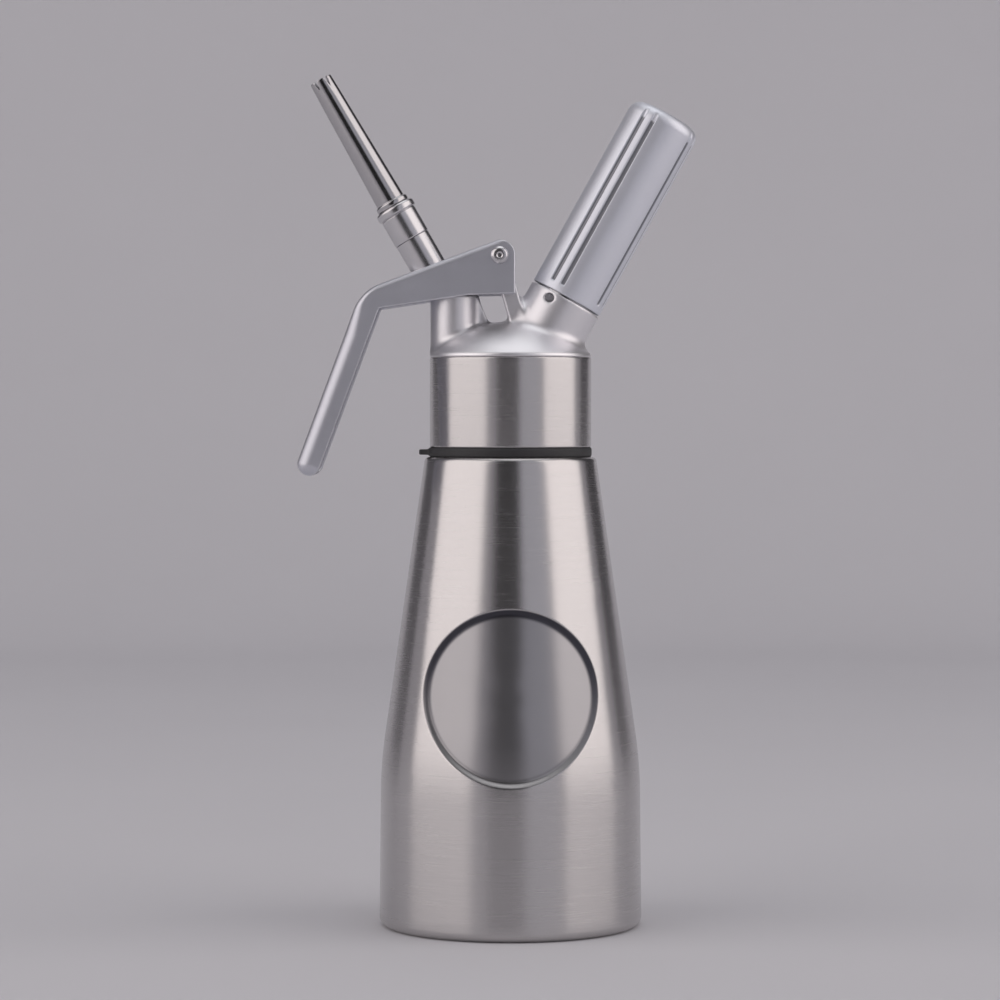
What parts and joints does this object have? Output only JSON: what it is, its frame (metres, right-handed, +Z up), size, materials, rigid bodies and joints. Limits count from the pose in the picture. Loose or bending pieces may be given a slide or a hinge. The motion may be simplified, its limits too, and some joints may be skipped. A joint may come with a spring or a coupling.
{
  "type": "whipped cream dispenser",
  "caption": "Steel bottle with a screwed head, a squeeze lever, a leaning outlet with a star tip and a fluted gas charger holder.",
  "frame": {"origin": "centre of the flat base that the bottle stands on", "axes": "+Z up the bottle's axis, +X towards the charger holder, -Y is the front"},
  "size_m": [0.1331, 0.088, 0.2848],
  "materials": {
    "bottle_steel": "brushed stainless steel, vertical bands",
    "turned_steel": "turned stainless steel",
    "head_alloy": "satin cast alloy",
    "lever_steel": "satin pressed steel",
    "holder_alloy": "satin turned alloy",
    "tip_steel": "polished steel",
    "spring_steel": "spring wire",
    "seal_rubber": "black food-safe rubber",
    "charger_steel": "zinc-plated steel"
  },
  "bodies": {
    "bottle": {"bottle_shell": "bottle_steel", "neck_ring": "turned_steel"},
    "gasket": {"head_gasket": "seal_rubber"},
    "head": {"head_casting": "head_alloy", "head_skirt": "bottle_steel", "pivot_pin": "turned_steel", "pivot_clip": "spring_steel", "valve_body": "turned_steel", "gland_ring": "seal_rubber", "valve_spring": "spring_steel", "inlet_nipple": "turned_steel", "piercing_pin": "turned_steel", "charger_seal": "seal_rubber", "inlet_spring": "spring_steel", "inlet_cage": "turned_steel"},
    "valve": {"valve_stem": "turned_steel", "valve_seal": "seal_rubber", "spring_washer": "turned_steel", "outlet_elbow": "turned_steel", "nozzle_coupling": "turned_steel"},
    "washer": {"tip_washer": "seal_rubber"},
    "tip": {"decorating_tip": "tip_steel"},
    "lever": {"lever": "lever_steel", "lever_saddle": "lever_steel"},
    "poppet": {"inlet_valve": "turned_steel", "inlet_seal": "seal_rubber"},
    "charger": {"gas_charger": "charger_steel"},
    "holder": {"charger_holder": "holder_alloy"}
  },
  "joints": [
    {"name": "head_lift", "type": "slide", "parent": "bottle", "child": "gasket", "axis": [0, 0, 1], "range_m": [0, 0.015]},
    {"name": "head_turn", "type": "hinge", "parent": "gasket", "child": "head", "pos_m": [0, 0, 0], "axis": [0, 0, 1], "range_deg": [0, 720]},
    {"name": "lever_squeeze", "type": "hinge", "parent": "head", "child": "lever", "pos_m": [-0.0036, 0, 0.224], "axis": [0, -1, 0], "range_deg": [0, 10]},
    {"name": "valve_stroke", "type": "slide", "parent": "head", "child": "valve", "axis": [0, 0, -1], "range_m": [0, 0.0028], "stiffness_N_per_m": 800, "springref_m": -0.004, "deforming": ["valve_spring"]},
    {"name": "tip_travel", "type": "slide", "parent": "valve", "child": "washer", "axis": [-0.5, 0, 0.866], "range_m": [0, 0.00625]},
    {"name": "tip_turn", "type": "hinge", "parent": "washer", "child": "tip", "pos_m": [-0.0288, 0, 0.2228], "axis": [-0.5, 0, 0.866], "range_deg": [0, 1800]},
    {"name": "poppet_stroke", "type": "slide", "parent": "head", "child": "poppet", "axis": [0, 0, -1], "range_m": [0, 0.001], "stiffness_N_per_m": 300, "springref_m": -0.001, "deforming": ["inlet_spring"]},
    {"name": "holder_travel", "type": "slide", "parent": "head", "child": "charger", "axis": [0.4848, 0, 0.8746], "range_m": [0, 0.01]},
    {"name": "holder_turn", "type": "hinge", "parent": "charger", "child": "holder", "pos_m": [0.0131, 0, 0.2], "axis": [0.4848, 0, 0.8746], "range_deg": [0, 1800]}
  ],
  "couplings": [
    {"joint": "valve_stroke", "follows": "lever_squeeze", "m_per_rad": 0.014633},
    {"joint": "head_lift", "follows": "head_turn", "m_per_rad": 0.0011937},
    {"joint": "holder_turn", "follows": "holder_travel", "rad_per_m": 3141.6},
    {"joint": "tip_turn", "follows": "tip_travel", "rad_per_m": 5026.5}
  ]
}
